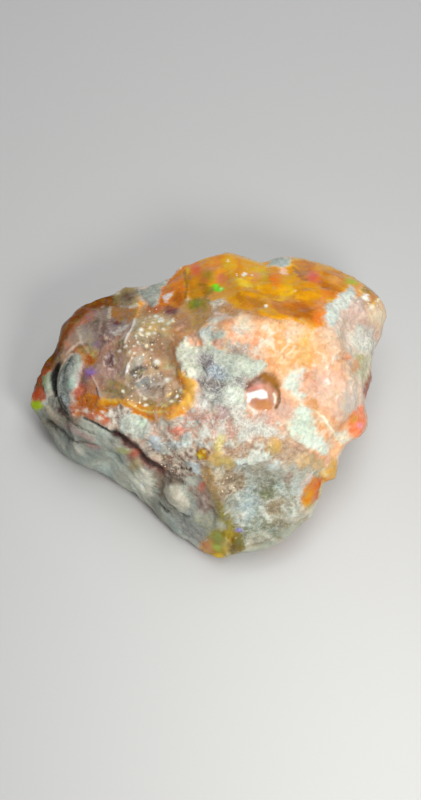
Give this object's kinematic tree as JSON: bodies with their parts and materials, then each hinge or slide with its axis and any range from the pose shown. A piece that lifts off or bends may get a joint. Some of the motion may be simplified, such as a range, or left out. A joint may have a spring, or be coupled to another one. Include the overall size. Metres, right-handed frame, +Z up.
{
  "type": "rough opal stone",
  "caption": "Small rough chip of natural opal, modelled about 43 mm long: glassy amber and clear opal under a chalky rind, lying on a flat broken facet.",
  "frame": {"origin": "middle of the footprint's bounding box, on the surface the stone rests on", "axes": "+Z up, +X along the stone's longest run (its pointed end is towards -X), +Y towards the glassy amber edge and -Y towards the low grey-green foot"},
  "size_m": [0.0432, 0.0358, 0.0206],
  "materials": {
    "opal": "glassy amber and clear opal with patches of chalky grey-white and peach rind, flecks of green, red and violet fire"
  },
  "bodies": {
    "root": {"opal_stone": "opal"}
  },
  "joints": []
}
